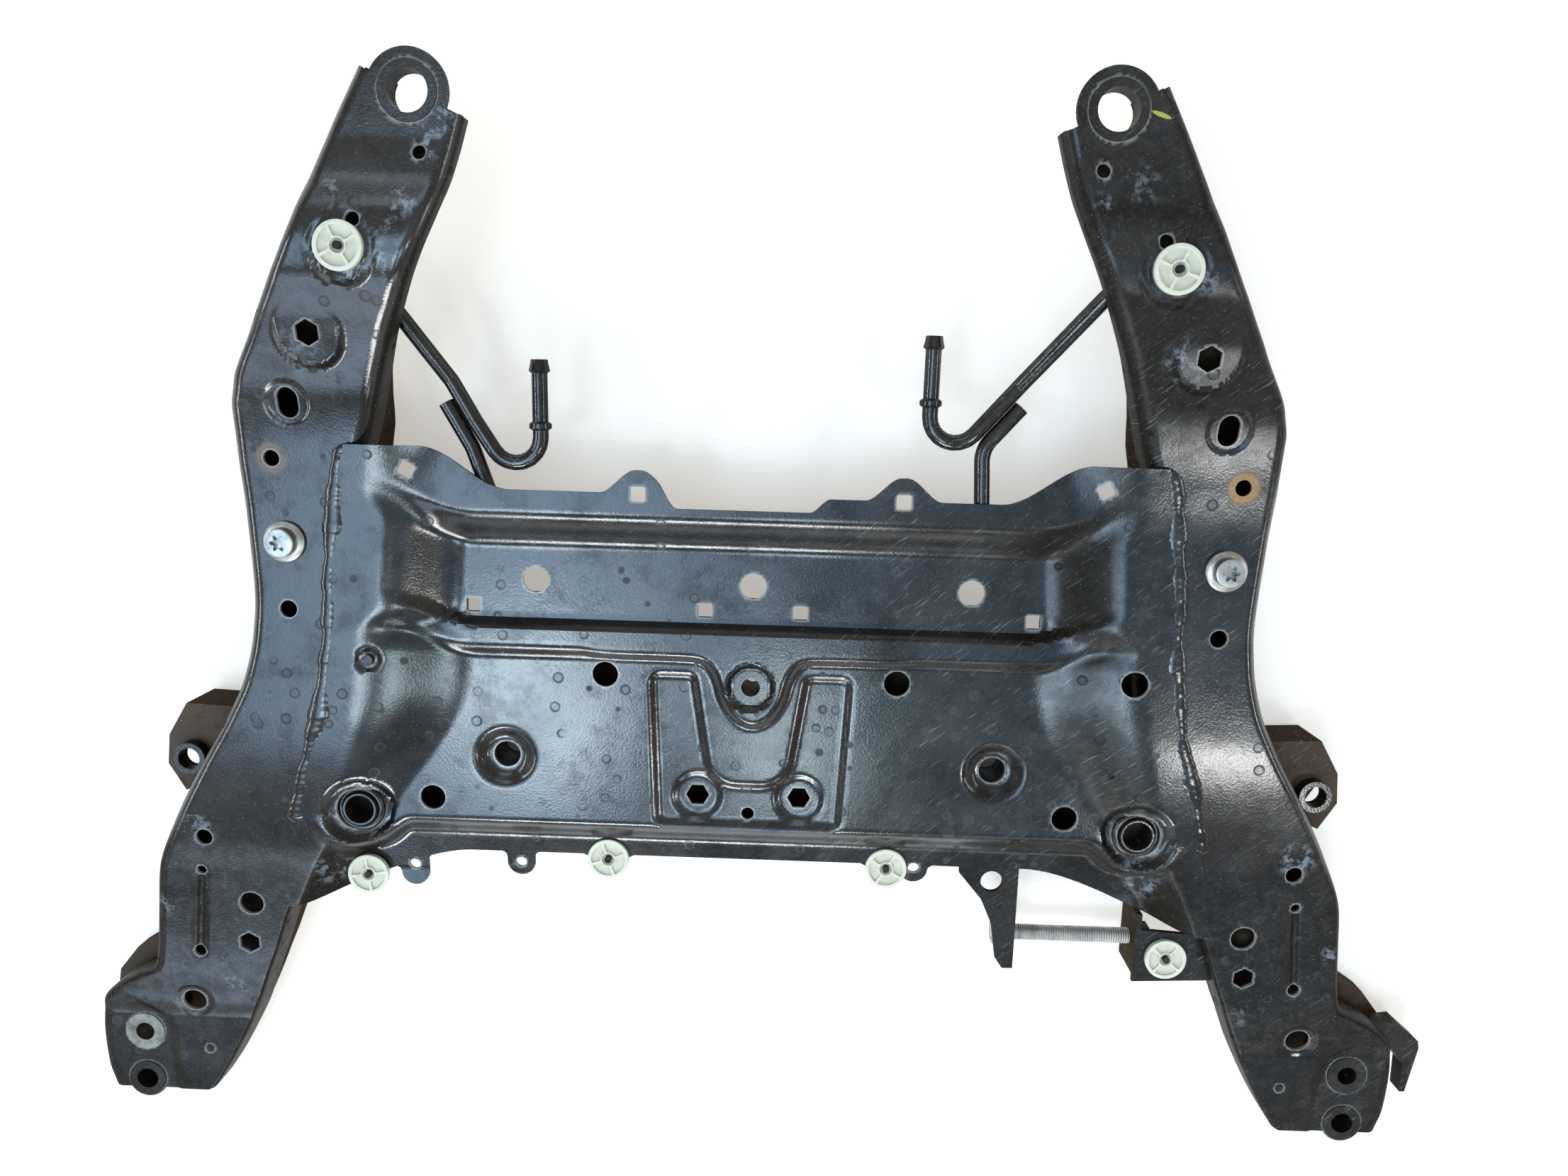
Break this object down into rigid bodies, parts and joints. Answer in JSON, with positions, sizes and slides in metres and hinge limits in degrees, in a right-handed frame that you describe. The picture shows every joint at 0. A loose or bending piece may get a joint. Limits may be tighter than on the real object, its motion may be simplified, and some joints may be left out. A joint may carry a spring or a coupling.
{
  "type": "front subframe",
  "caption": "Pressed steel front subframe: twin box rails joined by a stamped crossmember, with body mounts, steering and control arm seats, a clevis and hanger rods.",
  "frame": {"origin": "midway between the two front body mounts, on their seat plane", "axes": "+X to the vehicle's right, +Y to its rear, +Z towards the road; the part lies road side up"},
  "size_m": [1.005, 0.7445, 0.136],
  "materials": {
    "sheet_coating": "glossy black dip coating on pressed steel",
    "bracket_coating": "worn black dip coating, brown with dust",
    "rod_coating": "glossy black coating on bent rod",
    "zinc_steel": "bright zinc plating",
    "plated_sleeve": "dull plated steel",
    "bare_steel": "dark turned steel",
    "ivory_plastic": "moulded ivory nylon"
  },
  "bodies": {
    "root": {"crossmember_plate": "sheet_coating", "crossmember_back": "sheet_coating", "rail_shell_left": "sheet_coating", "rail_shell_right": "sheet_coating", "rail_back_left": "sheet_coating", "rail_back_right": "sheet_coating", "seam_weld_left": "sheet_coating", "seam_weld_right": "sheet_coating", "rear_mount_sleeve_left": "sheet_coating", "rear_mount_sleeve_right": "sheet_coating", "front_mount_sleeve_left": "plated_sleeve", "front_mount_sleeve_right": "plated_sleeve", "front_locator_sleeve_left": "sheet_coating", "front_locator_sleeve_right": "sheet_coating", "foot_gusset_left": "bracket_coating", "foot_gusset_right": "bracket_coating", "foot_clip_right": "sheet_coating", "control_arm_bracket_left": "bracket_coating", "control_arm_bracket_right": "bracket_coating", "control_arm_collar_left": "sheet_coating", "control_arm_collar_right": "sheet_coating", "clevis_inner_bracket": "sheet_coating", "clevis_outer_bracket": "sheet_coating", "clevis_bolt": "zinc_steel", "clevis_nut": "sheet_coating", "rail_bolts": "zinc_steel", "rail_bolt_tubes": "bare_steel", "rail_bolt_nuts": "bare_steel", "retaining_washers": "ivory_plastic", "retaining_studs": "bare_steel", "hanger_rod_left": "rod_coating", "hanger_rod_right": "rod_coating", "hanger_stay_left": "rod_coating", "hanger_stay_right": "rod_coating", "steering_sleeve_left": "bare_steel", "steering_sleeve_right": "bare_steel", "link_sleeve_left": "sheet_coating", "link_sleeve_right": "sheet_coating", "centre_sleeve": "sheet_coating", "plate_bolt": "zinc_steel", "plate_nut": "bare_steel"}
  },
  "joints": []
}
